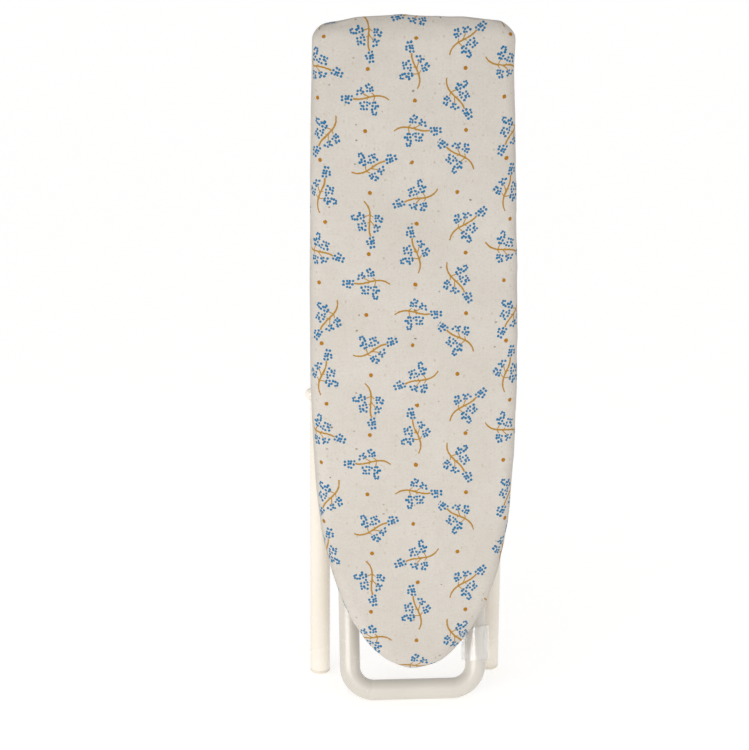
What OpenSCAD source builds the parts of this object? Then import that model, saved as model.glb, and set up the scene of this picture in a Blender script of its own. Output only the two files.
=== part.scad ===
// Toy ironing board with a padded fabric cover and two crossed tube legs.
// It is drawn folded and standing on its nose end: X across the board, the work
// surface facing -Y, and +Z from the nose towards the square tail.

/* [Board] */
// Length of the covered board from nose to tail
board_length = 149.5; // [140:0.5:170]
// Greatest width of the covered board
board_width = 47; // [46:0.2:50]
// Width lost at each side between the widest place and the tail
tail_taper = 1; // [0:0.1:1.5]
// Length of the curved nose, up to where the sides run straight
nose_length = 93; // [86:1:100]
// Radius of the two tail corners
tail_corner = 3.5; // [2:0.5:5]
// Height of the tail edge's middle above its ends
tail_crown = 1.8; // [0:0.1:3]
// Height of the nose above the floor when folded
nose_gap = 9.7; // [9:0.1:10.4]

/* [Layers] */
// Thickness of the stiff board
plate_thickness = 2.4; // [2:0.1:3]
// Thickness of the foam under the cover
pad_thickness = 2; // [1:0.1:3]
// Thickness of the cover fabric
cover_thickness = 0.5; // [0.3:0.05:0.7]
// Distance that the cover turns in under the board
hem_width = 7.2; // [6.4:0.1:8]
// Height of the elastic band inside the hem
elastic_height = 0.9; // [0.5:0.05:1]
// Width of the elastic band inside the hem
elastic_width = 1.1; // [0.8:0.1:1.4]

/* [Leg tubes] */
// Outer diameter of the leg tube
tube_diameter = 4.8; // [4.4:0.1:4.9]
// Wall thickness of the leg tube
tube_wall = 0.7; // [0.5:0.05:0.9]
// Radius of the bends, to the middle of the tube
bend_radius = 5.6; // [5:0.1:6.2]
// Distance between the tube centres of the inner leg
inner_spacing = 29.6; // [28.6:0.1:29.8]
// Distance between the tube centres of the outer leg
outer_spacing = 41.2; // [41:0.1:42]
// Distance from each leg's bar to the pivot
pivot_reach = 69.8; // [69:0.1:71]
// Angle of each leg to the board when folded
folded_angle = 10; // [8:0.5:12]
// Height of the bar axes above the underside of the board
bar_height = 4.2; // [4.2:0.1:5]

/* [Fittings] */
// Diameter of the pivot rivet's shank
rivet_diameter = 1.6; // [1.2:0.1:1.8]
// Diameter of the pivot rivet's domed head
rivet_head = 3; // [2.6:0.1:3.2]
// Thickness of the hinge straps
strap_thickness = 0.5; // [0.4:0.05:0.7]
// Width of a hinge strap along the bar
strap_width = 5; // [4:0.5:6]
// Distance of each hinge strap from the middle of the board
strap_offset = 8.5; // [7:0.5:10]
// Distance of each catch rail from the middle of the board
rail_offset = 6; // [5:0.1:6.5]
// Width of a catch rail
rail_width = 3; // [2.4:0.1:3.4]
// Leg angle at the lowest catch notch
low_notch = 37; // [36:1:38]
// Step of the leg angle from one catch notch to the next
notch_step = 4; // [4:0.5:4.5]
// Outer diameter of the clear sleeve on the inner leg
sleeve_diameter = 6.6; // [6:0.1:6.8]
// Length of the clear sleeve
sleeve_length = 8; // [6:0.5:9]

/* [Hidden] */
$fn = 48;

cream = [0.89, 0.86, 0.81];
calico = [0.85, 0.82, 0.77];

// Running clearances, and the overshoot that a cut has past a face
running = 0.05;
cut = 1;

// Legs
tube_r = tube_diameter / 2;
bore_r = tube_r - tube_wall;
plug_rim = 1;
plug_round = 0.5;
plug_stem = 6;
hinge_z = tube_r + 2 * pivot_reach * cos(folded_angle);
// the rounded rim of the outer feet touches the floor
rim_reach = (hinge_z - (tube_r - plug_round) * sin(folded_angle) - plug_round) / cos(folded_angle);
tube_end = rim_reach - plug_rim + plug_round;

// Depth, with the object centred on Y = 0
front_depth = bar_height + plate_thickness + pad_thickness + cover_thickness;
back_depth = rim_reach * sin(folded_angle) + (tube_r - plug_round) * cos(folded_angle) + plug_round;
bar_y = (front_depth - back_depth) / 2;
under_y = bar_y - bar_height;
pivot_y = bar_y + pivot_reach * sin(folded_angle);
pivot_z = tube_r + pivot_reach * cos(folded_angle);

// Hem tunnel
hem_skin = 0.35;
hem_wall = 0.4;
elastic_inset = hem_width - hem_wall - elastic_width;

// Pivot
shank_r = rivet_diameter / 2;
head_r = rivet_head / 2;
head_height = 1.1;
seat_depth = 0.35;
washer_r = 1.9;
outer_side = outer_spacing / 2;
inner_side = inner_spacing / 2;
side_gap = outer_side - inner_side - 2 * tube_r;

// Hinge
cleat_thickness = bar_height - tube_r - running;
cleat_length = 29;
cleat_depth = 13;
cleat_y = under_y + cleat_thickness;
strap_bore = tube_r + running;
flange = 3;
screw_r = 0.5;
screw_head_r = 1;
screw_head_height = 0.5;
screw_slot = 0.3;
screw_depth = 1.6;
screw_reach = strap_bore + strap_thickness + flange / 2;

// Catch rails
rail_height = bar_height - tube_r - 0.3;
notch_count = 3;
notch_lift = 0.8;
rail_end = 5;
brad_r = 0.4;
brad_head_r = 0.7;
brad_head_height = 0.35;
brad_depth = 1.6;
brad_inset = 1;
first_notch_z = hinge_z - 2 * pivot_reach * cos(low_notch);
last_notch_z = hinge_z - 2 * pivot_reach * cos(low_notch + (notch_count - 1) * notch_step);

// Sleeve, clear of the bend
sleeve_start = bend_radius + 0.9;

// Outline: how long the nose stays wide, how blunt its tip is, and the points along each stretch
nose_fullness = 4;
tip_bluntness = 1.86;
nose_steps = 24;
corner_step = 15;
tail_steps = 6;

// Half width of the nose curve, from 0 at the tip to 1 at its full length
function nose_curve(t) = pow(1 - pow(1 - t, nose_fullness), 1 / tip_bluntness);

// Share of the nose length at point i, closer together towards the tip
function nose_share(i) = pow(i / nose_steps, 2);

// A point near the tail, lowered by the crown of the tail edge
function crowned(x, y, half) = [x, y - tail_crown * pow(x / half, 2)];

// Points of one side, from the nose tip round to just short of the middle of the tail
function side_points(length, half, nose, corner) =
    let(corner_x = half - tail_taper - corner)
    concat(
        [for (i = [0:nose_steps]) [half * nose_curve(nose_share(i)), nose * nose_share(i)]],
        [for (a = [0:corner_step:90])
            crowned(corner_x + corner * cos(a), length - corner + corner * sin(a), half)],
        [for (i = [tail_steps - 1:-1:1]) crowned(corner_x * i / tail_steps, length, half)]);

// Outline of the board with its nose tip at the origin, moved in by inset all round
module outline(inset = 0) {
    half = board_width / 2 - inset;
    side = side_points(board_length - 2 * inset, half, nose_length - inset,
        max(tail_corner - inset, 1));
    left = [for (i = [len(side) - 1:-1:1]) [-side[i][0], side[i][1]]];
    translate([0, inset])
        polygon(concat(side, left));
}

// Flat layer of the board from one Y to a larger Y
module layer(from_y, to_y, inset = 0) {
    translate([0, to_y, nose_gap])
        rotate([90, 0, 0])
            linear_extrude(to_y - from_y)
                outline(inset);
}

// Profile in Y and Z extruded along X, centred on x
module across(width, x = 0) {
    translate([x - width / 2, 0, 0])
        rotate([90, 0, 90])
            linear_extrude(width)
                children();
}

module on_each_side() {
    children();
    mirror([1, 0, 0])
        children();
}

// Round hole for a screw or a brad, down to a depth below Z = 0
module hole(r, depth) {
    translate([0, 0, -depth - running])
        cylinder(r = r + running, h = depth + running + cut);
}

module board_plate() {
    color("burlywood")
        difference() {
            layer(under_y - plate_thickness, under_y, cover_thickness);
            strap_screw_places()
                hole(screw_r, cleat_thickness + screw_depth);
            brad_places()
                hole(brad_r, rail_height + brad_depth);
        }
}

module foam_pad() {
    color("ivory")
        layer(under_y - plate_thickness - pad_thickness, under_y - plate_thickness, cover_thickness);
}

// The cover wraps the pad and the board's edge, and ends in a tunnel round the elastic
module fabric_cover() {
    tunnel_inset = elastic_inset - hem_wall;
    color(calico)
        union() {
            difference() {
                layer(bar_y - front_depth, under_y + hem_skin);
                layer(bar_y - front_depth + cover_thickness, under_y, cover_thickness);
                layer(under_y - cut, under_y + cut, tunnel_inset);
            }
            difference() {
                layer(under_y, under_y + elastic_height + 2 * hem_skin, tunnel_inset);
                layer(under_y - cut, under_y + elastic_height + hem_skin, elastic_inset);
                layer(under_y - cut, under_y + 2 * cut + elastic_height, hem_width - hem_wall);
            }
            difference() {
                layer(under_y, under_y + elastic_height + 2 * hem_skin, hem_width - hem_wall);
                layer(under_y - cut, under_y + 2 * cut + elastic_height, hem_width);
            }
        }
}

module hem_elastic() {
    color("white")
        difference() {
            layer(under_y + running, under_y + elastic_height, elastic_inset + running);
            layer(under_y - cut, under_y + 2 * cut, elastic_inset + elastic_width - running);
        }
}

// Places of the strap screws, with +Z of each child along the screw, out of the board
module strap_screw_places() {
    for (x = [-strap_offset, strap_offset])
        for (dz = [-screw_reach, screw_reach])
            translate([x, cleat_y, hinge_z + dz])
                rotate([-90, 0, 0])
                    children();
}

module hinge_cleat() {
    color("burlywood")
        difference() {
            translate([-cleat_length / 2, under_y, hinge_z - cleat_depth / 2])
                cube([cleat_length, cleat_thickness, cleat_depth]);
            strap_screw_places()
                cylinder(r = screw_r + running, h = 4 * cleat_thickness, center = true);
        }
}

// Saddle strap over the outer leg's bar
module hinge_strap(x) {
    outside = strap_bore + strap_thickness;
    color(cream)
        difference() {
            across(strap_width, x)
                difference() {
                    union() {
                        intersection() {
                            translate([bar_y, hinge_z])
                                circle(outside);
                            translate([cleat_y, hinge_z - outside])
                                square([2 * outside, 2 * outside]);
                        }
                        translate([cleat_y, hinge_z - outside])
                            square([bar_y - cleat_y, 2 * outside]);
                        translate([cleat_y, hinge_z - outside - flange])
                            square([strap_thickness, 2 * (outside + flange)]);
                    }
                    translate([bar_y, hinge_z])
                        circle(strap_bore);
                    translate([cleat_y - cut, hinge_z - strap_bore])
                        square([bar_y - cleat_y + cut, 2 * strap_bore]);
                }
            strap_screw_places()
                cylinder(r = screw_r + running, h = 4 * strap_thickness, center = true);
        }
}

// Domed head with its flat face at Z = 0
module dome(radius, height) {
    ball = (radius * radius + height * height) / (2 * height);
    intersection() {
        translate([0, 0, height - ball])
            sphere(ball);
        translate([-2 * radius, -2 * radius, 0])
            cube([4 * radius, 4 * radius, height + cut]);
    }
}

module strap_screws() {
    color("silver")
        strap_screw_places() {
            translate([0, 0, strap_thickness])
                difference() {
                    dome(screw_head_r, screw_head_height);
                    translate([-screw_head_r, -screw_slot / 2, screw_head_height / 2])
                        cube([2 * screw_head_r, screw_slot, screw_head_height]);
                }
            translate([0, 0, -cleat_thickness - screw_depth])
                cylinder(r = screw_r, h = cleat_thickness + screw_depth + strap_thickness);
        }
}

// Places of the rail brads, with +Z of each child out of the rail's face
module brad_places() {
    for (x = [-rail_offset, rail_offset])
        for (z = [first_notch_z - rail_end + brad_inset, last_notch_z + rail_end - brad_inset])
            translate([x, under_y + rail_height, z])
                rotate([-90, 0, 0])
                    children();
}

// Strip with round notches, which the inner leg's bar drops into
module catch_rail(x) {
    color("burlywood")
        difference() {
            translate([x - rail_width / 2, under_y, first_notch_z - rail_end])
                cube([rail_width, rail_height, last_notch_z - first_notch_z + 2 * rail_end]);
            for (i = [0:notch_count - 1])
                translate([x, bar_y - notch_lift, hinge_z - 2 * pivot_reach * cos(low_notch + i * notch_step)])
                    rotate([0, 90, 0])
                        cylinder(r = tube_r + running, h = rail_width + 2 * cut, center = true);
            brad_places() {
                cylinder(r = brad_r + running, h = 4 * rail_height, center = true);
                translate([0, 0, -brad_head_height - running])
                    cylinder(r = brad_head_r + running, h = brad_head_height + cut);
            }
        }
}

module rail_brads() {
    color("silver")
        brad_places() {
            translate([0, 0, -brad_head_height])
                cylinder(r = brad_head_r, h = brad_head_height - running);
            translate([0, 0, -rail_height - brad_depth])
                cylinder(r = brad_r, h = rail_height + brad_depth - brad_head_height);
        }
}

// Bent rod along a leg's centre line, with its bar on the X axis and its open ends up
module bent_rod(spacing, r, end) {
    straight = spacing / 2 - bend_radius;
    rotate([0, 90, 0])
        cylinder(r = r, h = 2 * straight, center = true);
    on_each_side() {
        translate([straight, 0, bend_radius])
            rotate([90, 0, 0])
                rotate([0, 0, -90])
                    rotate_extrude(angle = 90)
                        translate([bend_radius, 0])
                            circle(r);
        translate([spacing / 2, 0, bend_radius])
            cylinder(r = r, h = end - bend_radius);
    }
}

// Bent tube, drilled for the pivot. seat is 1 for a head seat outside, -1 for one inside
module leg_tube(spacing, seat) {
    seat_x = spacing / 2 + seat * (tube_r - seat_depth / 2 + cut / 2);
    difference() {
        bent_rod(spacing, tube_r, tube_end);
        bent_rod(spacing, bore_r, tube_end + cut);
        on_each_side() {
            translate([spacing / 2, 0, pivot_reach])
                rotate([0, 90, 0])
                    cylinder(r = shank_r + running, h = 2 * tube_r + cut, center = true);
            translate([seat_x, 0, pivot_reach])
                rotate([0, 90, 0])
                    cylinder(r = head_r + running, h = seat_depth + cut, center = true);
        }
    }
}

module place_inner() {
    translate([0, bar_y, tube_r])
        rotate([-folded_angle, 0, 0])
            children();
}

module place_outer() {
    translate([0, bar_y, hinge_z])
        rotate([180 + folded_angle, 0, 0])
            children();
}

// Plug in the open end of a tube, with a rounded rim
module foot_plug(x) {
    color(cream)
        translate([x, 0, tube_end]) {
            rotate_extrude() {
                square([tube_r - plug_round, plug_rim]);
                square([tube_r, plug_rim - plug_round]);
                translate([tube_r - plug_round, plug_rim - plug_round])
                    circle(plug_round);
            }
            translate([0, 0, -plug_stem])
                cylinder(r = bore_r - running / 2, h = plug_stem + plug_round);
        }
}

module outer_leg() {
    color(cream)
        place_outer()
            leg_tube(outer_spacing, 1);
}

module inner_leg() {
    color(cream)
        place_inner()
            leg_tube(inner_spacing, -1);
}

// Rivet on the +X side: domed head outside, low formed head inside
module pivot_rivet() {
    head_x = outer_side + tube_r - seat_depth;
    formed_x = inner_side - tube_r + seat_depth - running;
    formed_height = 0.7;
    color(cream)
        translate([0, pivot_y, pivot_z])
            rotate([0, 90, 0]) {
                translate([0, 0, head_x])
                    dome(head_r, head_height + seat_depth);
                translate([0, 0, formed_x - cut / 2])
                    cylinder(r = shank_r, h = head_x - formed_x + cut);
                translate([0, 0, formed_x])
                    mirror([0, 0, 1])
                        dome(head_r - running, formed_height + seat_depth);
            }
}

// Spacer between the two legs on the +X side
module pivot_washer() {
    color("silver")
        translate([inner_side + tube_r + running, pivot_y, pivot_z])
            rotate([0, 90, 0])
                difference() {
                    cylinder(r = washer_r, h = side_gap - 2 * running);
                    translate([0, 0, -cut])
                        cylinder(r = shank_r + running, h = side_gap + 2 * cut);
                }
}

module clear_sleeve() {
    color([0.93, 0.94, 0.94, 0.45])
        place_inner()
            translate([inner_side, 0, sleeve_start])
                difference() {
                    cylinder(d = sleeve_diameter, h = sleeve_length);
                    translate([0, 0, -cut])
                        cylinder(r = tube_r + running, h = sleeve_length + 2 * cut);
                }
}

board_plate();
foam_pad();
fabric_cover();
hem_elastic();
hinge_cleat();
hinge_strap(-strap_offset);  // hinge_strap_left
hinge_strap(strap_offset);  // hinge_strap_right
strap_screws();
catch_rail(-rail_offset);  // catch_rail_left
catch_rail(rail_offset);  // catch_rail_right
rail_brads();
outer_leg();
place_outer() foot_plug(-outer_side);  // outer_foot_plug_left
place_outer() foot_plug(outer_side);  // outer_foot_plug_right
mirror([1, 0, 0]) pivot_rivet();  // pivot_rivet_left
pivot_rivet();  // pivot_rivet_right
mirror([1, 0, 0]) pivot_washer();  // pivot_washer_left
pivot_washer();  // pivot_washer_right
inner_leg();
place_inner() foot_plug(-inner_side);  // inner_foot_plug_left
place_inner() foot_plug(inner_side);  // inner_foot_plug_right
clear_sleeve();
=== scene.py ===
"""Looks of the toy ironing board: printed padded cover, painted tube legs, clear sleeve."""

import math
import random

import bpy
import numpy as np
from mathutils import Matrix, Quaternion, Vector, noise


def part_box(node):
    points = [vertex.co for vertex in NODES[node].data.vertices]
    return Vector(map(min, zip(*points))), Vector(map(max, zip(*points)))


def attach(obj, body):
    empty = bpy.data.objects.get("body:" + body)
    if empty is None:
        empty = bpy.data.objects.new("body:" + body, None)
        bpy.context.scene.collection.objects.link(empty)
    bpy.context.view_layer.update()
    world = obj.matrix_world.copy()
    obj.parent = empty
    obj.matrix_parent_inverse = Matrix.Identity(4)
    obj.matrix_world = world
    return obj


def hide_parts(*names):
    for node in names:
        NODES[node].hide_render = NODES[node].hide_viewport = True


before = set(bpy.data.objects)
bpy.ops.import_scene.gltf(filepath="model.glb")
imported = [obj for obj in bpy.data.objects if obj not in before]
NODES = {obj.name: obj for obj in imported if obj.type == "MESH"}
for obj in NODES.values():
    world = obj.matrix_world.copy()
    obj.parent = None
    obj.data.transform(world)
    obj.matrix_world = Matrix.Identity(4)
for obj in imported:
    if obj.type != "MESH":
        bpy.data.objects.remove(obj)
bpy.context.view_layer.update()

MM = 0.001
SEED = 7

# Board, measured on the CAD nodes. Lengths in this script are in millimetres unless a name says
# otherwise: x across, u from the nose tip towards the tail, n out of the underside towards the legs.
COVER_LOW, COVER_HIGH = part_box("fabric_cover")
PLATE_LOW, PLATE_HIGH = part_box("board_plate")
UNDER_Y = PLATE_HIGH[1] / MM
NOSE_Z = COVER_LOW[2] / MM
HALF_WIDTH = COVER_HIGH[0] / MM
LENGTH = (COVER_HIGH[2] - COVER_LOW[2]) / MM
FRONT_N = COVER_LOW[1] / MM - UNDER_Y
PLATE_N = PLATE_LOW[1] / MM - UNDER_Y
HEM_TOP_N = COVER_HIGH[1] / MM - UNDER_Y

# Outline of the covered board
NOSE_LENGTH = 93.0
NOSE_FULLNESS = 4.0
TIP_BLUNTNESS = 1.86
TAIL_TAPER = 1.0
TAIL_CORNER = 3.5
TAIL_CROWN = 1.8
COLUMNS = 360

# Print, in the plane of the cloth: a half-drop repeat of sprigs, each turned on from the one before,
# with a single dot halfway between neighbours in a column. A sprig's middle is measured from the
# start of its stem, along and across it.
SPRIG_COLUMNS = 4
SPRIG_ROWS = 3
COLUMN_STEP = 10.5
ROW_STEP = 13.8
SPRIG_TURN = 100.0
SPRIG_SWAY = 1.0
PRINT_BOW = 1.0
SPRIG_MIDDLE = (4.6, 0.2)
REPEAT_X = SPRIG_COLUMNS * COLUMN_STEP
REPEAT_U = SPRIG_ROWS * ROW_STEP


# ---------------------------------------------------------------- node helpers

class Shader:
    """A material whose node tree is built by short calls that return sockets."""

    def __init__(self, name):
        self.material = bpy.data.materials.new(name)
        self.material.use_nodes = True
        self.tree = self.material.node_tree
        self.tree.nodes.clear()
        output = self.tree.nodes.new("ShaderNodeOutputMaterial")
        self.bsdf = self.tree.nodes.new("ShaderNodeBsdfPrincipled")
        self.tree.links.new(self.bsdf.outputs[0], output.inputs[0])

    def put(self, socket, value):
        if isinstance(value, bpy.types.NodeSocket):
            self.tree.links.new(value, socket)
        elif isinstance(value, tuple) and len(value) == 3 and socket.type == "RGBA":
            socket.default_value = (*value, 1.0)
        else:
            socket.default_value = value

    def add(self, kind, inputs=None, **settings):
        made = self.tree.nodes.new("ShaderNode" + kind)
        for key, value in settings.items():
            setattr(made, key, value)
        for key, value in (inputs or {}).items():
            self.put(made.inputs[key], value)
        return made

    def set(self, **inputs):
        """Sets the surface's inputs, with an underscore for each space in an input's name."""
        for key, value in inputs.items():
            self.put(self.bsdf.inputs[key.replace("_", " ")], value)

    def math(self, operation, a, b=0.0, c=0.0, clamp=False):
        return self.add("Math", {0: a, 1: b, 2: c}, operation=operation, use_clamp=clamp).outputs[0]

    def vector(self, operation, a, b=(0.0, 0.0, 0.0)):
        made = self.add("VectorMath", {0: a, 1: b}, operation=operation)
        return made.outputs["Value" if operation in ("DOT_PRODUCT", "LENGTH", "DISTANCE") else "Vector"]

    def scaled(self, vector, scale):
        return self.add("VectorMath", {0: vector, "Scale": scale}, operation="SCALE").outputs["Vector"]

    def join(self, x, y, z=0.0):
        return self.add("CombineXYZ", {0: x, 1: y, 2: z}).outputs[0]

    def parts(self, vector):
        return self.add("SeparateXYZ", {0: vector}).outputs

    def color(self, factor, a, b, blend="MIX"):
        made = self.add("Mix", data_type="RGBA", blend_type=blend)
        for index, value in ((0, factor), (6, a), (7, b)):
            self.put(made.inputs[index], value)
        return made.outputs[2]

    def pick(self, factor, a, b):
        made = self.add("Mix", data_type="VECTOR")
        for index, value in ((0, factor), (4, a), (5, b)):
            self.put(made.inputs[index], value)
        return made.outputs[1]

    def noise(self, vector, scale, detail=2.0, roughness=0.5):
        made = self.add("TexNoise", {"Vector": vector, "Scale": scale, "Detail": detail,
                                     "Roughness": roughness})
        return made.outputs["Fac"]

    def span(self, value, low, high, to_low=0.0, to_high=1.0):
        made = self.add("MapRange", {0: value, 1: low, 2: high, 3: to_low, 4: to_high}, clamp=True)
        return made.outputs[0]

    def bump(self, height, distance, strength=1.0, normal=None):
        inputs = {"Height": height, "Distance": distance, "Strength": strength}
        if normal is not None:
            inputs["Normal"] = normal
        return self.add("Bump", inputs).outputs[0]

    def millimetres(self):
        """The object's own coordinates, in millimetres."""
        return self.scaled(self.add("TexCoord").outputs["Object"], 1 / MM)

    def attribute(self, name):
        return self.add("Attribute", attribute_name=name).outputs["Vector"]


def paint(node, material):
    mesh = NODES[node].data
    mesh.materials.clear()
    mesh.materials.append(material)
    mesh.polygons.foreach_set("material_index", [0] * len(mesh.polygons))


# ---------------------------------------------------------------- cloth materials

def from_nearest(s, lattice, x, u):
    """The way to a place, in mm, from the nearest repeat of the point x, u."""
    shifted = s.vector("ADD", lattice, (0.5 - x / REPEAT_X, 0.5 - u / REPEAT_U, 0.5))
    offset = s.vector("SUBTRACT", s.vector("FRACTION", shifted), (0.5, 0.5, 0.5))
    return s.vector("MULTIPLY", offset, (REPEAT_X, REPEAT_U, 0.0))


def print_places():
    """The sprigs of one repeat, each as x and u of its middle, its heading in degrees and the side of
    its large clusters, and the places of the single dots."""
    sprigs, dots = [], []
    for number in range(SPRIG_COLUMNS * SPRIG_ROWS):
        column, row = divmod(number, SPRIG_ROWS)
        heading = number * SPRIG_TURN
        x = column * COLUMN_STEP
        u = (row + 0.5 * (column % 2)) * ROW_STEP
        sway = SPRIG_SWAY * math.sin(math.radians(2 * heading))
        sprigs.append((x + sway, u - sway, heading, 1 if number % 2 else -1))
        dots.append((x - sway, u + 0.5 * ROW_STEP))
    return sprigs, dots


def sprig_space(s, lattice, sprigs):
    """Coordinates along and across the nearest sprig, in mm from its stem's start."""
    best, best_distance = None, None
    for x, u, heading, side in sprigs:
        cos, sin = math.cos(math.radians(heading)), math.sin(math.radians(heading))
        away = from_nearest(s, lattice, x, u)
        local = s.join(s.vector("DOT_PRODUCT", away, (cos, sin, 0.0)),
                       s.vector("DOT_PRODUCT", away, (-side * sin, side * cos, 0.0)))
        distance = s.vector("LENGTH", local)
        if best is None:
            best, best_distance = local, distance
        else:
            nearer = s.math("LESS_THAN", distance, best_distance)
            best = s.pick(nearer, best, local)
            best_distance = s.math("MINIMUM", distance, best_distance)
    return s.vector("ADD", best, (*SPRIG_MIDDLE, 0.0))


def near_dot(s, lattice, dots):
    """Distance in mm to the nearest single dot."""
    best = None
    for x, u in dots:
        distance = s.vector("LENGTH", from_nearest(s, lattice, x, u))
        best = distance if best is None else s.math("MINIMUM", best, distance)
    return best


def twig(s, place, start, end, width):
    """1 within width of the straight line from start to end."""
    dx, dy = end[0] - start[0], end[1] - start[1]
    length2 = dx * dx + dy * dy
    from_start = s.vector("SUBTRACT", place, (*start, 0.0))
    along = s.math("DIVIDE", s.vector("DOT_PRODUCT", from_start, (dx, dy, 0.0)), length2, clamp=True)
    foot = s.scaled(s.join(dx, dy), along)
    away = s.vector("DISTANCE", from_start, foot)
    return s.span(away, width * 0.35, width * 0.65, 1.0, 0.0)


def cluster(s, cell, centre, radius_along, radius_across):
    """1 for a dot whose own centre lies in an ellipse."""
    from_centre = s.vector("SUBTRACT", cell, (*centre, 0.0))
    squeezed = s.vector("MULTIPLY", from_centre, (1 / radius_along, 1 / radius_across, 0.0))
    return s.math("LESS_THAN", s.vector("LENGTH", squeezed), 1.0)


def most(s, values):
    result = values[0]
    for value in values[1:]:
        result = s.math("MAXIMUM", result, value)
    return result


def flecked(s, ground, cloth, stretch, scale, size, share, strength, tint):
    """ground with specks of tint; share is the part of all cells that stays bare."""
    cells = s.add("TexVoronoi", {"Vector": s.vector("MULTIPLY", cloth, (*stretch, 0.0)), "Scale": scale,
                                 "Randomness": 1.0}, voronoi_dimensions="2D")
    red, green, _ = s.parts(cells.outputs["Color"])
    ragged = s.math("MULTIPLY", s.math("SUBTRACT", s.noise(cloth, 7.0), 0.5), size[1])
    radius = s.span(green, 0.0, 1.0, *size)
    inside = s.math("LESS_THAN", s.math("ADD", cells.outputs["Distance"], ragged), radius)
    return s.color(s.math("MULTIPLY", inside, s.span(red, share, 1.0, 0.0, strength)), ground, tint)


def calico_print():
    """Unbleached calico with a small printed repeat of berry sprigs and single dots."""
    s = Shader("calico_print")
    cloth = s.attribute("cloth")
    ragged = s.vector("SUBTRACT", s.add("TexNoise", {"Vector": cloth, "Scale": 2.2}).outputs["Color"],
                      (0.5, 0.5, 0.5))
    inked = s.vector("ADD", cloth, s.scaled(ragged, 0.22))
    lattice = s.vector("MULTIPLY", inked, (1 / REPEAT_X, 1 / REPEAT_U, 0.0))
    sprigs, dots = print_places()
    place = sprig_space(s, lattice, sprigs)
    x, y, _ = s.parts(place)

    # stem: one long bow towards the small clusters, turning back near its end
    stem_length, sag, rise = 7.8, -6.2, 1.6
    t = s.math("DIVIDE", x, stem_length, clamp=True)
    left = s.math("SUBTRACT", 1.0, t)
    bow = s.math("MULTIPLY", s.math("MULTIPLY", t, s.math("MULTIPLY", left, left)), sag)
    bow = s.math("MULTIPLY_ADD", s.math("MULTIPLY", t, s.math("MULTIPLY", t, left)), rise, bow)
    off_stem = s.vector("LENGTH", s.join(s.math("SUBTRACT", x, s.math("MULTIPLY", t, stem_length)),
                                         s.math("MULTIPLY", s.math("SUBTRACT", y, bow), 0.85)))
    stem = s.span(off_stem, 0.12, 0.22, 1.0, 0.0)
    twigs = [
        twig(s, place, (3.1, -0.85), (3.3, 0.6), 0.24),
        twig(s, place, (4.5, -0.6), (4.8, 0.05), 0.22),
        twig(s, place, (4.5, -0.6), (5.7, -1.25), 0.24),
        twig(s, place, (3.1, -0.85), (3.7, -1.35), 0.22),
    ]
    knots = [cluster(s, place, (3.15, -0.8), 0.24, 0.22), cluster(s, place, (4.5, -0.55), 0.26, 0.22)]
    brown = most(s, [stem, *twigs, *knots])

    berries = s.add("TexVoronoi", {"Vector": place, "Scale": 1.5, "Randomness": 0.58},
                    voronoi_dimensions="2D")
    cell = berries.outputs["Position"]
    size = s.span(s.parts(berries.outputs["Color"])[0], 0.0, 1.0, 0.38, 0.50)
    berry = s.span(s.math("SUBTRACT", berries.outputs["Distance"], size), -0.05, 0.04, 1.0, 0.0)
    in_cluster = most(s, [
        cluster(s, cell, (9.2, 0.0), 1.25, 1.2),
        cluster(s, cell, (3.2, 2.2), 0.95, 1.65),
        cluster(s, cell, (5.3, 1.4), 1.2, 1.25),
        cluster(s, cell, (6.5, -1.75), 0.95, 0.85),
        cluster(s, cell, (4.3, -2.45), 1.1, 1.0),
    ])
    blue = s.math("MULTIPLY", berry, in_cluster)
    spot = s.span(near_dot(s, lattice, dots), 0.40, 0.52, 1.0, 0.0)

    # thread: plain weave at a fraction of a millimetre, thicker and thinner along each thread
    thread = 0.36
    cx, cu, _ = s.parts(cloth)
    warp_slub = s.noise(s.vector("MULTIPLY", cloth, (2.9, 0.30, 0.0)), 1.0, 3.0, 0.7)
    weft_slub = s.noise(s.vector("MULTIPLY", cloth, (0.30, 2.9, 0.0)), 1.0, 3.0, 0.7)
    warp = s.math("SINE", s.math("MULTIPLY", cx, 2 * math.pi / thread))
    weft = s.math("SINE", s.math("MULTIPLY", cu, 2 * math.pi / thread))
    weave = s.math("MULTIPLY_ADD", s.math("MULTIPLY", warp, weft), 0.5, 0.5)
    fine = s.noise(cloth, 2.3, 3.0, 0.75)
    broad = s.noise(cloth, 0.055, 2.0)
    patch = s.noise(cloth, 0.45, 3.0, 0.6)

    ground = s.color(s.span(broad, 0.35, 0.65), (0.495, 0.461, 0.418), (0.527, 0.494, 0.453))
    ground = s.color(s.span(patch, 0.48, 0.75, 0.0, 0.30), ground, (0.432, 0.391, 0.338))
    ground = s.color(s.span(s.math("ADD", warp_slub, weft_slub), 1.0, 1.4, 0.0, 0.35), ground,
                     (0.409, 0.364, 0.303))
    ground = s.color(s.span(fine, 0.52, 0.74, 0.0, 0.38), ground, (0.430, 0.382, 0.315))
    ground = s.color(s.span(fine, 0.28, 0.48, 0.30, 0.0), ground, (0.623, 0.598, 0.565))
    ground = s.color(s.math("MULTIPLY", weave, 0.11), ground, (0.42, 0.37, 0.30))

    # seed flecks left in the unbleached cotton: many faint, few dark, each a little longer one way
    ground = flecked(s, ground, cloth, (1.0, 0.7), 0.45, (0.05, 0.11), 0.50, 0.55, (0.36, 0.28, 0.17))
    ground = flecked(s, ground, cloth, (0.75, 1.0), 0.21, (0.025, 0.05), 0.60, 0.90, (0.14, 0.11, 0.075))
    ground = flecked(s, ground, cloth, (1.0, 1.0), 1.1, (0.10, 0.22), 0.55, 0.35, (0.38, 0.31, 0.21))

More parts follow.
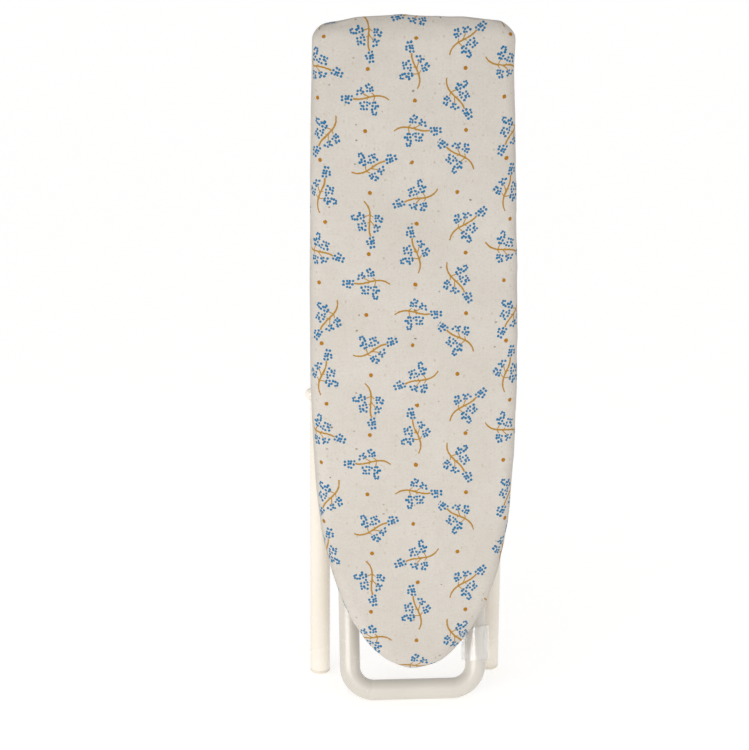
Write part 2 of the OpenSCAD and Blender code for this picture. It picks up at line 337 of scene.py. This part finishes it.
    fade = s.span(s.noise(cloth, 1.1, 2.0), 0.35, 0.65, 0.93, 1.0)
    brown_ink = s.color(s.noise(cloth, 1.6), (0.260, 0.120, 0.000), (0.390, 0.200, 0.000))
    blue_ink = s.color(s.noise(cloth, 1.3), (0.000, 0.088, 0.205), (0.000, 0.150, 0.320))
    spot_ink = s.color(s.noise(cloth, 1.9), (0.250, 0.098, 0.000), (0.370, 0.160, 0.002))
    color = s.color(s.math("MULTIPLY", brown, s.math("MULTIPLY", fade, 0.96)), ground, brown_ink)
    color = s.color(s.math("MULTIPLY", blue, s.math("MULTIPLY", fade, 0.98)), color, blue_ink)
    color = s.color(s.math("MULTIPLY", spot, 0.98), color, spot_ink)

    height = s.math("MULTIPLY_ADD", weave, 0.6, s.math("MULTIPLY", fine, 0.9))
    normal = s.bump(height, 0.00006, 0.55)
    ripple = s.noise(cloth, 0.16, 2.0)
    s.set(Base_Color=color, Roughness=s.span(fine, 0.3, 0.7, 0.80, 0.95),
          Normal=s.bump(ripple, 0.0004, 0.35, normal))
    s.set(Sheen_Weight=0.05, Sheen_Roughness=0.5, Specular_IOR_Level=0.08)
    return s.material


def thread_material():
    """Twisted cotton sewing thread."""
    s = Shader("sewing_thread")
    place = s.millimetres()
    twist = s.math("SINE", s.math("MULTIPLY", s.vector("DOT_PRODUCT", place, (9.0, 4.0, 13.0)), 2.2))
    fuzz = s.noise(place, 9.0, 3.0)
    color = s.color(s.math("MULTIPLY_ADD", twist, 0.25, 0.4), (0.74, 0.70, 0.62), (0.56, 0.52, 0.45))
    s.set(Base_Color=s.color(s.math("MULTIPLY", fuzz, 0.3), color, (0.82, 0.79, 0.73)),
          Roughness=s.span(fuzz, 0.3, 0.7, 0.7, 0.95),
          Normal=s.bump(s.math("MULTIPLY_ADD", fuzz, 0.5, twist), 0.00004, 0.5))
    s.set(Sheen_Weight=0.2)
    return s.material


def foam_material():
    """Open-cell foam."""
    s = Shader("open_cell_foam")
    place = s.millimetres()
    cells = s.add("TexVoronoi", {"Vector": place, "Scale": 2.6}, feature="F1").outputs["Distance"]
    age = s.noise(place, 0.12, 2.0)
    color = s.color(s.span(age, 0.3, 0.7), (0.80, 0.76, 0.62), (0.86, 0.83, 0.72))
    color = s.color(s.span(cells, 0.25, 0.6), color, (0.58, 0.54, 0.42))
    s.set(Base_Color=color, Roughness=s.span(age, 0.3, 0.7, 0.85, 0.98),
          Normal=s.bump(cells, 0.0003, 0.6))
    return s.material


def elastic_material():
    """Braided elastic, ribbed along its length."""
    s = Shader("braided_elastic")
    place = s.millimetres()
    x, y, z = s.parts(place)
    rib = s.math("SINE", s.math("MULTIPLY", y, 22.0))
    pick = s.math("SINE", s.math("MULTIPLY", s.math("ADD", x, z), 12.0))
    braid = s.math("MULTIPLY", rib, pick)
    color = s.color(s.span(braid, -1.0, 1.0), (0.60, 0.57, 0.51), (0.80, 0.78, 0.73))
    s.set(Base_Color=color, Roughness=s.span(s.noise(place, 3.0), 0.3, 0.7, 0.65, 0.85),
          Normal=s.bump(braid, 0.0001, 0.6))
    return s.material


# ---------------------------------------------------------------- hard materials

def cream_enamel(name, tint_low, tint_high, gloss_low, gloss_high):
    """Thick stoved enamel on tube: soft orange peel, faint runs, small chips and rubbed places."""
    s = Shader(name)
    place = s.millimetres()
    broad = s.noise(place, 0.045, 3.0)
    peel = s.noise(place, 0.9, 2.0)
    grain = s.noise(place, 5.5, 3.0, 0.6)
    color = s.color(s.span(broad, 0.35, 0.65), tint_low, tint_high)
    specks = s.add("TexVoronoi", {"Vector": place, "Scale": 0.34, "Randomness": 1.0})
    chance = s.parts(specks.outputs["Color"])[1]
    speck = s.math("MULTIPLY", s.span(specks.outputs["Distance"], 0.035, 0.06, 1.0, 0.0),
                   s.math("GREATER_THAN", chance, 0.78))
    color = s.color(s.math("MULTIPLY", speck, 0.45), color, (0.33, 0.28, 0.21))
    rubbed = s.span(s.noise(place, 0.5, 4.0, 0.7), 0.60, 0.74)
    color = s.color(s.math("MULTIPLY", rubbed, 0.22), color, (0.60, 0.55, 0.47))
    rough = s.math("ADD", s.span(broad, 0.3, 0.7, gloss_low, gloss_high),
                   s.math("MULTIPLY", rubbed, 0.18))
    height = s.math("MULTIPLY_ADD", peel, 1.0, s.math("MULTIPLY", grain, 0.12))
    s.set(Base_Color=color, Roughness=rough,
          Normal=s.bump(s.math("SUBTRACT", height, s.math("MULTIPLY", speck, 0.6)), 0.00012, 0.35))
    s.set(Coat_Weight=0.35, Coat_Roughness=0.26, Specular_IOR_Level=0.5)
    return s.material


def sleeve_material():
    """Clear soft tube: glossy, a little cloudy, with fine scuffs along it."""
    s = Shader("clear_tube")
    place = s.millimetres()
    haze = s.noise(place, 0.7, 3.0)
    scuff = s.noise(s.vector("MULTIPLY", place, (6.0, 6.0, 0.5)), 1.0, 3.0, 0.7)
    s.set(Base_Color=s.color(s.span(haze, 0.3, 0.7), (0.98, 0.965, 0.94), (0.94, 0.93, 0.905)),
          Roughness=s.math("ADD", s.span(haze, 0.3, 0.7, 0.05, 0.11), s.span(scuff, 0.62, 0.8, 0.0, 0.25)),
          Alpha=s.span(haze, 0.3, 0.7, 0.36, 0.46),
          Normal=s.bump(s.math("MULTIPLY_ADD", scuff, 0.3, haze), 0.00015, 0.25))
    s.set(Transmission_Weight=0.62, IOR=1.45, Coat_Weight=0.6, Coat_Roughness=0.06)
    return s.material


def moulded(name, low, high):
    """Moulded plastic: faint flow marks and a fine matte grain."""
    s = Shader(name)
    place = s.millimetres()
    flow = s.noise(s.vector("MULTIPLY", place, (0.4, 0.4, 1.6)), 1.0, 3.0)
    grain = s.noise(place, 7.0, 3.0)
    dirt = s.span(s.noise(place, 0.8, 4.0, 0.7), 0.58, 0.75, 0.0, 0.35)
    color = s.color(dirt, s.color(s.span(flow, 0.3, 0.7), low, high), (0.42, 0.37, 0.30))
    s.set(Base_Color=color, Roughness=s.span(grain, 0.3, 0.7, 0.42, 0.62),
          Normal=s.bump(grain, 0.00005, 0.4))
    return s.material


def zinc():
    """Bright zinc-plated steel, lightly brushed."""
    s = Shader("zinc_steel")
    place = s.millimetres()
    brushed = s.noise(s.vector("MULTIPLY", place, (2.0, 2.0, 30.0)), 1.0, 3.0)
    cloud = s.noise(place, 1.3, 3.0)
    tarnish = s.span(s.noise(place, 2.4, 4.0, 0.7), 0.58, 0.72, 0.0, 0.6)
    color = s.color(s.span(cloud, 0.3, 0.7), (0.58, 0.57, 0.54), (0.72, 0.71, 0.69))
    s.set(Base_Color=s.color(tarnish, color, (0.33, 0.30, 0.25)), Metallic=1.0,
          Roughness=s.math("ADD", s.span(brushed, 0.3, 0.7, 0.24, 0.40), s.math("MULTIPLY", tarnish, 0.3)),
          Normal=s.bump(brushed, 0.00003, 0.4))
    return s.material


def beech():
    """Sanded beech: long grain with short dark flecks."""
    s = Shader("sanded_beech")
    place = s.millimetres()
    grain = s.noise(s.vector("MULTIPLY", place, (0.16, 1.6, 1.6)), 1.0, 4.0, 0.6)
    rays = s.noise(s.vector("MULTIPLY", place, (1.2, 7.0, 7.0)), 1.0, 2.0)
    color = s.color(s.span(grain, 0.30, 0.70), (0.50, 0.315, 0.155), (0.62, 0.43, 0.245))
    color = s.color(s.span(rays, 0.60, 0.72, 0.0, 0.7), color, (0.36, 0.205, 0.09))
    color = s.color(s.span(s.noise(place, 0.5, 3.0), 0.55, 0.75, 0.0, 0.25), color, (0.40, 0.27, 0.15))
    s.set(Base_Color=color, Roughness=s.span(grain, 0.3, 0.7, 0.48, 0.66),
          Normal=s.bump(s.math("ADD", grain, s.math("MULTIPLY", rays, 0.5)), 0.00008, 0.45))
    return s.material


def hardboard():
    """Pressed fibreboard: matted fibres, darker freckles, a slight sheen where it was pressed."""
    s = Shader("pressed_fibreboard")
    place = s.millimetres()
    matted = s.noise(place, 1.4, 5.0, 0.7)
    fibres_a = s.noise(s.vector("MULTIPLY", place, (5.0, 2.0, 0.7)), 1.0, 3.0)
    fibres_b = s.noise(s.vector("MULTIPLY", place, (0.7, 2.0, 5.0)), 1.0, 3.0)
    fibres = s.math("MAXIMUM", fibres_a, fibres_b)
    color = s.color(s.span(matted, 0.30, 0.70), (0.36, 0.235, 0.13), (0.50, 0.35, 0.21))
    color = s.color(s.span(fibres, 0.55, 0.75, 0.0, 0.5), color, (0.62, 0.47, 0.31))
    color = s.color(s.span(s.noise(place, 3.0, 3.0), 0.64, 0.74, 0.0, 0.6), color, (0.20, 0.12, 0.06))
    s.set(Base_Color=color, Roughness=s.span(matted, 0.3, 0.7, 0.62, 0.85),
          Normal=s.bump(s.math("ADD", fibres, s.math("MULTIPLY", matted, 0.5)), 0.00012, 0.5))
    return s.material


# ---------------------------------------------------------------- board outline

def nose_curve(t):
    """Share of the half width at a share t of the nose's length."""
    return (1 - (1 - t) ** NOSE_FULLNESS) ** (1 / TIP_BLUNTNESS)


def side_points(place, inset):
    """x and u of one side. place runs from 0 at the tip to 4 at the tail's middle, with one unit each
    for the nose, the side, the corner and the tail."""
    half = HALF_WIDTH - inset
    length = LENGTH - 2 * inset  # both ends move in
    nose = NOSE_LENGTH - inset
    corner = np.maximum(TAIL_CORNER - inset, 1.0)
    corner_x = half - TAIL_TAPER - corner
    stretch = np.floor(np.minimum(place, 3.999)).astype(int)
    t = np.clip(place - stretch, 0, 1)
    angle = t * math.pi / 2

    def crown(x):
        return TAIL_CROWN * (x / half) ** 2

    end_x, end_u = half - TAIL_TAPER, length - corner - crown(half - TAIL_TAPER)
    corner_px = corner_x + corner * np.cos(angle)
    tail_px = corner_x * (1 - t)
    x = np.choose(stretch, [half * nose_curve(t * t), half + (end_x - half) * t, corner_px, tail_px])
    u = np.choose(stretch, [nose * t * t, nose + (end_u - nose) * t,
                            length - corner + corner * np.sin(angle) - crown(corner_px),
                            length - crown(tail_px)])
    return np.stack([x, u + inset], 1)


def even_places(count):
    """count + 1 places along one side, evenly spaced at the board's edge, and their arc lengths."""
    fine = np.linspace(0, 4, 4001)
    points = side_points(fine, 0.0)
    arc = np.concatenate([[0], np.cumsum(np.linalg.norm(np.diff(points, axis=0), axis=1))])
    wanted = np.linspace(0, arc[-1], count + 1)
    return np.interp(wanted, arc, fine), wanted


def both_sides(values):
    """Values up the +X side, then the same values back down the -X side."""
    return np.concatenate([values, values[-2:0:-1]])


def ring(places, inset):
    """The closed outline, moved in by inset: up the +X side from the tip, then down the -X side."""
    right = side_points(places, inset)
    left = right[-2:0:-1] * (-1, 1)
    return np.concatenate([right, left])


def smooth(a, b, value):
    """0 at a, 1 at b, with a soft start and end."""
    t = np.clip((value - a) / (b - a), 0, 1)
    return t * t * (3 - 2 * t)


def ring_noise(points, period, seed):
    """Smooth noise for each point of a ring, about -1 to 1."""
    return np.array([2 * noise.noise(Vector((x / period, u / period, seed))) for x, u in points])


def to_world(points, n):
    """Ring points and heights above the underside, as metres in the row frame."""
    world = np.empty((len(points), 3))
    world[:, 0] = points[:, 0]
    world[:, 1] = UNDER_Y + n
    world[:, 2] = NOSE_Z + points[:, 1]
    return world * MM


def make_mesh(name, vertices, faces, material):
    mesh = bpy.data.meshes.new(name)
    mesh.from_pydata([tuple(v) for v in vertices], [], faces)
    mesh.polygons.foreach_set("use_smooth", [True] * len(mesh.polygons))
    mesh.materials.append(material)
    obj = bpy.data.objects.new(name, mesh)
    bpy.context.scene.collection.objects.link(obj)
    mesh.update()
    return obj


def grid_faces(rows, columns, offset=0):
    """Quads between closed rows of vertices."""
    faces = []
    for r in range(rows - 1):
        a, b = offset + r * columns, offset + (r + 1) * columns
        faces += [(a + c, a + (c + 1) % columns, b + (c + 1) % columns, b + c) for c in range(columns)]
    return faces


# ---------------------------------------------------------------- cover

# Where the front turns flat, in from the edge, and how deep its rounded edge reaches
FLAT_INSET = 2.8
TAIL_FLAT_INSET = 5.0
SOFT_EDGE = 2.4
EDGE_STEPS = 9
FRONT_ROWS = 24
# The front's middle line stops short of the tip and the tail
SPINE_START = 13
SPINE_LENGTH = LENGTH - 25

# The hem lies on the underside: past the board's edge at the lip, in under the stitches, over the
# elastic and back under itself, as (inset, n)
LIP = (0.32, 0.34)
HEM_PROFILE = [
    (0.9, 0.5), (1.7, 0.5), (2.5, 0.5), (3.3, 0.5), (4.0, 0.5), (4.6, 0.48), (5.0, 0.40), (5.25, 0.75),
    (5.5, 1.12), (5.85, 1.36), (6.3, 1.46), (6.75, 1.38), (7.1, 1.08), (7.25, 0.72), (7.15, 0.36),
    (6.85, 0.2),
]
STITCH_INSET = 5.0
GATHER_PITCH = 2.9
GATHER_SWAY = 0.20
GATHER_HEIGHT = 0.24


def flat_inset(places):
    """How far in from the edge the front turns flat: further at the tail, where the pad is softer."""
    return FLAT_INSET + (TAIL_FLAT_INSET - FLAT_INSET) * smooth(3.0, 3.5, places)


def gather(inset, arc, wander):
    """How much the gathers lift the hem, about -1.3 to 1.3, at an inset and an arc length. The
    stitches hold them down."""
    amount = smooth(1.2, 5.4, inset) * (1 - 0.55 * np.exp(-((inset - STITCH_INSET) / 0.35) ** 2))
    phase = arc / GATHER_PITCH + 0.55 * wander
    fold = np.sin(2 * math.pi * phase) + 0.35 * np.sin(2 * math.pi * phase * 1.9 + 1.0)
    return amount * fold


def pulled(cloth):
    """Where the print lies on the drawn cloth: its cross lines bow a little towards the edges."""
    x, u = cloth[:, 0], cloth[:, 1]
    return np.stack([x, u - PRINT_BOW * (x / HALF_WIDTH) ** 2], 1)


class Cover:
    """The cover as rows of points, from the middle of the front to the fold inside the hem."""

    def __init__(self):
        self.places, arc_right = even_places(COLUMNS)
        edge = ring(self.places, 0.0)
        total = 2 * arc_right[-1]
        self.arc = np.concatenate([arc_right, total - arc_right[-2:0:-1]])
        self.columns = len(edge)
        self.wander = ring_noise(edge, 14.0, 3.1)
        self.slack = 0.16 * ring_noise(edge, 11.0, 5.7) + 0.07 * ring_noise(edge, 4.0, 9.2)
        # the tail edge is less tightly pulled
        self.slack += 0.30 * smooth(LENGTH - 9, LENGTH - 1, edge[:, 1]) * ring_noise(edge, 6.5, 1.4)
        self.rows = []  # points in space
        self.cloth = []  # the same points on the flat cloth, which carry the print
        self.loose = []  # 1 where the cloth is free, 0 where it is held
        self.front()
        self.edge()
        self.hem()

    def add(self, points, n, cloth, loose):
        self.rows.append(to_world(points, n))
        self.cloth.append(pulled(cloth))
        self.loose.append(loose)

    def front(self):
        flat = ring(self.places, flat_inset(self.places))
        share = self.arc / self.arc[-1]
        share = np.minimum(share, 1 - share) * 2
        spine = np.stack([np.zeros(self.columns), SPINE_START + SPINE_LENGTH * np.clip(share, 0, 1)], 1)
        for row in range(FRONT_ROWS):
            t = row / FRONT_ROWS
            points = spine + (flat - spine) * (0.004 + 0.996 * t)
            self.add(points, np.full(self.columns, FRONT_N), points, 1.0)

    def outward(self):
        direction = ring(self.places, 0.0) - ring(self.places, FLAT_INSET)
        return direction / np.linalg.norm(direction, axis=1)[:, None]

    def edge(self):
        outward = self.outward()
        turn = flat_inset(self.places)
        around = both_sides(turn)
        run = np.zeros(self.columns)
        previous = (around, FRONT_N)
        profile = []
        for i in range(EDGE_STEPS + 1):
            a = i / EDGE_STEPS * math.pi / 2
            profile.append((turn * (1 - math.sin(a)), FRONT_N + SOFT_EDGE * (1 - math.cos(a))))
        side = FRONT_N + SOFT_EDGE
        profile += [(0.0, side + (0.1 - side) * k / 3) for k in (1, 2)] + [(0.06, 0.0), LIP]
        for inset, n in profile:
            here = inset if np.isscalar(inset) else both_sides(inset)
            run = run + np.hypot(here - previous[0], n - previous[1])
            previous = (here, n)
            looseness = 1 - smooth(-1.2, 0.2, n)
            wave = self.slack * looseness * smooth(FLAT_INSET, 0.6, here)
            points = ring(self.places, inset) + outward * wave[:, None]
            beyond = run - around + (here if n < side else 0)
            cloth = ring(self.places, inset if n < side else 0.0) + outward * beyond[:, None]
            self.add(points, np.full(self.columns, n), cloth, float(looseness))
        self.run = run - around

    def hem(self):
        outward = self.outward()
        edge = ring(self.places, 0.0)
        previous = LIP
        for inset, n in HEM_PROFILE:
            self.run = self.run + math.hypot(inset - previous[0], n - previous[1])
            previous = (inset, n)
            lift = gather(inset, self.arc, self.wander)
            hidden = 0.3 if n < 0.4 and inset > STITCH_INSET else 1.0
            points = ring(self.places, inset) + outward * (GATHER_SWAY * lift * hidden)[:, None]
            height = np.clip(n + GATHER_HEIGHT * lift * hidden, 0.08, HEM_TOP_N + 0.1)
            self.cut = edge + outward * self.run[:, None]
            self.add(points, height, self.cut, 0.0)

    def build(self, material):
        vertices = np.concatenate(self.rows)
        faces = grid_faces(len(self.rows), self.columns)
        # the innermost front row closes along the spine
        half = self.columns // 2
        for c in range(half):
            a, b = c, c + 1
            mirror_a, mirror_b = (self.columns - a) % self.columns, (self.columns - b) % self.columns
            corners = list(dict.fromkeys([a, mirror_a, mirror_b, b]))
            if len(corners) > 2:
                faces.append(tuple(corners))
        obj = make_mesh("cover", vertices, faces, material)
        cloth = np.zeros((len(vertices), 3), np.float32)
        cloth[:, :2] = np.concatenate(self.cloth)
        made = obj.data.attributes.new("cloth", "FLOAT_VECTOR", "POINT")
        made.data.foreach_set("vector", cloth.ravel())
        return obj


def inflate(obj, looseness, pressure, limit):
    """Lets cloth simulation push the free part of a sheet out from inside, no further than limit mm."""
    # the solver is made for larger cloth, so the sheet is simulated at ten times its size
    size_up = 10.0
    frames = 20
    count = len(obj.data.vertices)
    start = np.empty(count * 3, np.float32)
    obj.data.vertices.foreach_get("co", start)
    obj.data.vertices.foreach_set("co", start * size_up)
    obj.data.update()
    group = obj.vertex_groups.new(name="held")
    for index, value in enumerate(looseness):
        if value < 1:
            group.add([index], 1.0 - float(value), "REPLACE")
    cloth = obj.modifiers.new("cloth", "CLOTH")
    settings = cloth.settings
    settings.quality = 5
    settings.mass = 0.3
    settings.tension_stiffness = 12
    settings.compression_stiffness = 12
    settings.shear_stiffness = 4
    settings.bending_stiffness = 0.4
    settings.vertex_group_mass = group.name
    settings.use_pressure = True
    settings.uniform_pressure_force = pressure
    settings.effector_weights.gravity = 0
    cloth.point_cache.frame_start = 1
    cloth.point_cache.frame_end = frames
    scene = bpy.context.scene
    for number in range(1, frames + 1):
        scene.frame_set(number)
    evaluated = obj.evaluated_get(bpy.context.evaluated_depsgraph_get())
    moved = np.empty(count * 3, np.float32)
    evaluated.data.vertices.foreach_get("co", moved)
    obj.modifiers.remove(cloth)
    scene.frame_set(1)
    shift = (moved / size_up - start).reshape(-1, 3)
    length = np.linalg.norm(shift, axis=1)
    most_shift = limit * MM
    scale = np.where(length > 0, most_shift * np.tanh(length / most_shift) / np.maximum(length, 1e-9), 0)
    result = start.reshape(-1, 3) + shift * scale[:, None]
    obj.data.vertices.foreach_set("co", result.ravel())
    obj.data.update()
    obj.vertex_groups.clear()


def build_cover():
    cover = Cover()
    obj = cover.build(calico_print())
    looseness = np.repeat(cover.loose, cover.columns)
    inflate(obj, looseness, pressure=2.5, limit=0.3)
    smoother = obj.modifiers.new("subdivision", "SUBSURF")
    smoother.levels = smoother.render_levels = 1
    thickness = obj.modifiers.new("cloth_thickness", "SOLIDIFY")
    thickness.thickness = 0.22 * MM
    thickness.offset = -1
    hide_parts("fabric_cover")
    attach(obj, "board")
    return obj, cover


def build_stitching(cover):
    """The running stitch that closes the hem round the elastic."""
    random.seed(SEED)
    line = ring(cover.places, STITCH_INSET)
    # a stitch spans a little of the hem, so it lies at the mean height of the cloth on both its sides
    lift = sum(share * gather(inset, cover.arc, cover.wander)
               for share, inset in ((0.25, 4.6), (0.5, STITCH_INSET), (0.25, 5.25)))
    heights = 0.60 + GATHER_HEIGHT * lift
    total = cover.arc[-1] + cover.arc[1]
    pitch, length, radius, unevenness, end_dip = 1.75, 1.15, 0.15, 0.08, 0.16
    sides, rings = 8, 7
    closed_arc = np.append(cover.arc, total)

    def at(s):
        s = s % total
        x = np.interp(s, closed_arc, np.append(line[:, 0], line[0, 0]))
        u = np.interp(s, closed_arc, np.append(line[:, 1], line[0, 1]))
        n = np.interp(s, closed_arc, np.append(heights, heights[0]))
        return np.array([x, UNDER_Y + n, NOSE_Z + u]) * MM

    vertices, faces = [], []
    for k in range(int(total / pitch)):
        start = k * pitch + random.uniform(-unevenness, unevenness)
        base = len(vertices)
        for r in range(rings):
            t = r / (rings - 1)
            centre = at(start + t * length)
            ahead = at(start + t * length + 0.1) - centre
            ahead /= np.linalg.norm(ahead)
            across = np.cross(ahead, (0, 1, 0))
            across /= np.linalg.norm(across)
            up = np.cross(across, ahead)
            dip = (abs(2 * t - 1) ** 3) * end_dip * MM
            thick = radius * MM * math.sqrt(max(1 - abs(2 * t - 1) ** 4, 0.03))
            for side in range(sides):
                a = 2 * math.pi * side / sides
                vertices.append(centre + (across * math.cos(a) + up * math.sin(a)) * thick
                                - np.array([0, dip, 0]))
        faces += grid_faces(rings, sides, base)
        faces.append(tuple(base + side for side in range(sides))[::-1])
        faces.append(tuple(base + (rings - 1) * sides + side for side in range(sides)))
    obj = make_mesh("hem_stitching", vertices, faces, thread_material())
    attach(obj, "board")
    return obj


def build_foam():
    """The foam under the cover, with its front edge rounded over."""
    places, _ = even_places(120)
    inner = 0.6
    front = FRONT_N + 0.55
    edge_inset, edge_depth, edge_steps = 3.6, 1.6, 6
    columns = len(ring(places, inner))
    rows = [to_world(ring(places, 6.0) * (0.02, 0.8) + (0, 0.1 * LENGTH), np.full(columns, front))]
    rows += [to_world(ring(places, inset), np.full(columns, front)) for inset in (8.0, 5.0)]
    for i in range(edge_steps + 1):
        a = i / edge_steps * math.pi / 2
        rows.append(to_world(ring(places, inner + edge_inset * (1 - math.sin(a))),
                             np.full(columns, front + edge_depth * (1 - math.cos(a)))))
    back = PLATE_N - 0.02
    rows.append(to_world(ring(places, inner), np.full(columns, back)))
    rows.append(to_world(ring(places, 8.0), np.full(columns, back)))
    faces = grid_faces(len(rows), columns)
    last = (len(rows) - 1) * columns
    faces.append(tuple(range(columns))[::-1])
    faces.append(tuple(last + c for c in range(columns)))
    obj = make_mesh("foam", np.concatenate(rows), faces, foam_material())
    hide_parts("foam_pad")
    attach(obj, "board")
    return obj


# ---------------------------------------------------------------- frame parts

def dress_frame():
    # painted shade: the inner leg's enamel is a darker, greyer copy of the outer leg's, so that the inner
    # leg, close behind the board, looks shaded; the outer legs and rivets get the lighter, lit copy
    enamel = cream_enamel("cream_enamel", (0.73, 0.675, 0.585), (0.77, 0.72, 0.64), 0.22, 0.32)
    shade_darkened_inner_enamel = cream_enamel("shade_darkened_inner_enamel", (0.512, 0.479, 0.430), (0.553, 0.521, 0.470), 0.22, 0.32)
    strap_paint = cream_enamel("strap_enamel", (0.67, 0.61, 0.52), (0.72, 0.67, 0.58), 0.30, 0.42)
    zinc_steel, wood = zinc(), beech()
    plug = moulded("plug_plastic", (0.64, 0.585, 0.50), (0.70, 0.65, 0.57))
    nylon = moulded("nylon", (0.70, 0.68, 0.62), (0.78, 0.765, 0.71))
    finishes = {
        "outer_leg": enamel, "inner_leg": shade_darkened_inner_enamel, "pivot_rivet": enamel, "hinge_strap": strap_paint,
        "strap_screws": zinc_steel, "rail_brads": zinc_steel, "hinge_cleat": wood, "catch_rail": wood,
        "outer_foot_plug": plug, "inner_foot_plug": plug, "pivot_washer": nylon,
        "clear_sleeve": sleeve_material(), "board_plate": hardboard(), "hem_elastic": elastic_material(),
    }
    for node in NODES:
        for start, material in finishes.items():
            if node == start or node in (start + "_left", start + "_right"):
                paint(node, material)


# ---------------------------------------------------------------- studio

def studio():
    floor = bpy.data.meshes.new("floor")
    reach = 15.0
    floor.from_pydata([(-reach, -reach, 0), (reach, -reach, 0), (reach, reach, 0), (-reach, reach, 0)],
                      [], [(0, 1, 2, 3)])
    floor_object = bpy.data.objects.new("floor", floor)
    bpy.context.scene.collection.objects.link(floor_object)
    s = Shader("pale_floor")
    s.set(Base_Color=(0.93, 0.93, 0.93), Roughness=0.9, Specular_IOR_Level=0.1,
          Emission_Color=(1.0, 0.995, 0.985), Emission_Strength=0.36)
    floor.materials.append(s.material)

    # paler towards the horizon than overhead
    world = bpy.data.worlds.new("studio")
    bpy.context.scene.world = world
    world.use_nodes = True
    tree = world.node_tree
    direction = tree.nodes.new("ShaderNodeTexCoord")
    split = tree.nodes.new("ShaderNodeSeparateXYZ")
    level = tree.nodes.new("ShaderNodeMapRange")
    for index, value in ((1, 0.0), (2, 0.9), (3, 1.06), (4, 0.54)):
        level.inputs[index].default_value = value
    background = tree.nodes["Background"]
    background.inputs["Color"].default_value = (1.0, 1.0, 1.0, 1.0)
    tree.links.new(direction.outputs["Generated"], split.inputs[0])
    tree.links.new(split.outputs[2], level.inputs[0])
    tree.links.new(level.outputs[0], background.inputs["Strength"])

    def area(name, place, target, size, power, tint, spread=180):
        data = bpy.data.lights.new(name, "AREA")
        data.shape = "RECTANGLE"
        data.size, data.size_y = size
        data.energy = power
        data.color = tint
        data.spread = math.radians(spread)
        obj = bpy.data.objects.new(name, data)
        obj.location = place
        obj.rotation_euler = (Vector(target) - Vector(place)).to_track_quat("-Z", "Y").to_euler()
        bpy.context.scene.collection.objects.link(obj)

    # a low, near key whose light falls off towards the top of the board, and a fill from the right
    area("key", (-0.15, -0.30, 0.05), (0, 0, 0.055), (0.32, 0.09), 0.24, (1.0, 0.985, 0.965), 110)
    area("fill", (0.80, -0.70, 0.10), (0, 0, 0.08), (0.6, 0.3), 0.5, (1.0, 0.99, 0.975))


def camera():
    """Camera at the height and angle from which the object is seen: a little from the left and above."""
    azimuth, elevation, lean = math.radians(-4.2), math.radians(9.73), math.radians(-0.33)
    lens, distance = 125.2, 600
    aim = Vector((-8.7, -8.9, 77.4)) * MM
    data = bpy.data.cameras.new("camera")
    data.sensor_width = 36.0
    data.lens = lens
    data.clip_start = 0.01
    obj = bpy.data.objects.new("camera", data)
    back = Vector((math.sin(azimuth) * math.cos(elevation), -math.cos(azimuth) * math.cos(elevation),
                   math.sin(elevation)))
    obj.location = aim + back * distance * MM
    obj.rotation_euler = ((-back).to_track_quat("-Z", "Y") @ Quaternion((0, 0, 1), lean)).to_euler()
    bpy.context.scene.collection.objects.link(obj)
    bpy.context.scene.camera = obj


def view_transform():
    scene = bpy.context.scene
    scene.view_settings.view_transform = "Standard"
    scene.view_settings.look = "None"


view_transform()
camera()
studio()
dress_frame()
cover_object, cover_shape = build_cover()
stitching = build_stitching(cover_shape)
build_foam()
